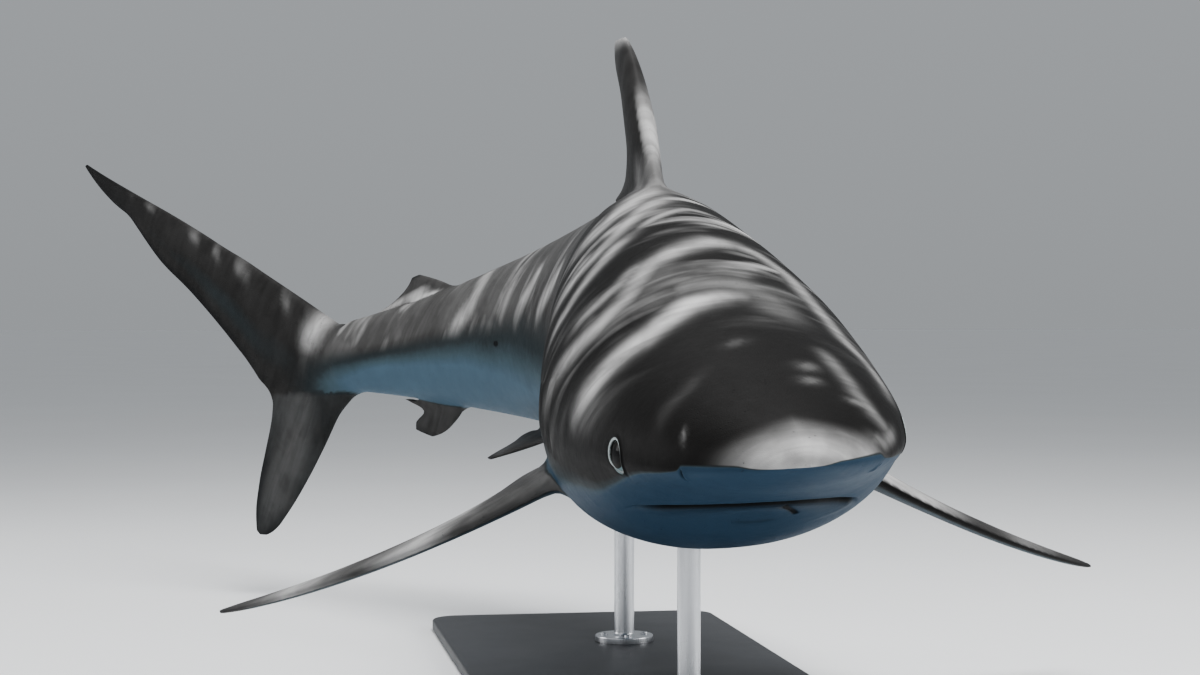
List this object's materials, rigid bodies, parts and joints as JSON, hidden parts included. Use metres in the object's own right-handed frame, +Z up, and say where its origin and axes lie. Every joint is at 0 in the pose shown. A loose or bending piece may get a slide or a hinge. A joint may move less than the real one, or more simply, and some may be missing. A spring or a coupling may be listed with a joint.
{
  "type": "shark",
  "caption": "Life-size silky shark gliding with its tail swung to one side, held low over a flat base by two short rods.",
  "frame": {"origin": "middle of the base's underside, on the floor, 800 mm behind the snout tip", "axes": "+Z up, the head points to -Y, +X is the shark's left"},
  "size_m": [1.2559, 1.8813, 0.7852],
  "materials": {
    "skin_back": "satin, dark neutral grey-brown above, fading to white below",
    "skin_belly": "satin, white underside",
    "skin_fin": "satin, dark grey with blackish edges",
    "eye": "glossy, black upright pupil in a thin pale ring",
    "stand_base": "fine-textured dark powder coat",
    "stand_rod": "brushed"
  },
  "bodies": {
    "root": {"head": "skin_back", "lower_jaw": "skin_belly", "gill_region": "skin_back", "trunk_front": "skin_back", "trunk_rear": "skin_back", "tail_stem": "skin_back", "dorsal_fin_first": "skin_fin", "dorsal_fin_second": "skin_fin", "anal_fin": "skin_fin", "caudal_fin_upper_lobe": "skin_fin", "caudal_fin_lower_lobe": "skin_fin", "pectoral_fin_right": "skin_fin", "pectoral_fin_left": "skin_fin", "pelvic_fin_right": "skin_fin", "pelvic_fin_left": "skin_fin", "eye_right": "eye", "eye_left": "eye", "stand_base": "stand_base", "stand_rod_front": "stand_rod", "stand_rod_rear": "stand_rod"}
  },
  "joints": []
}
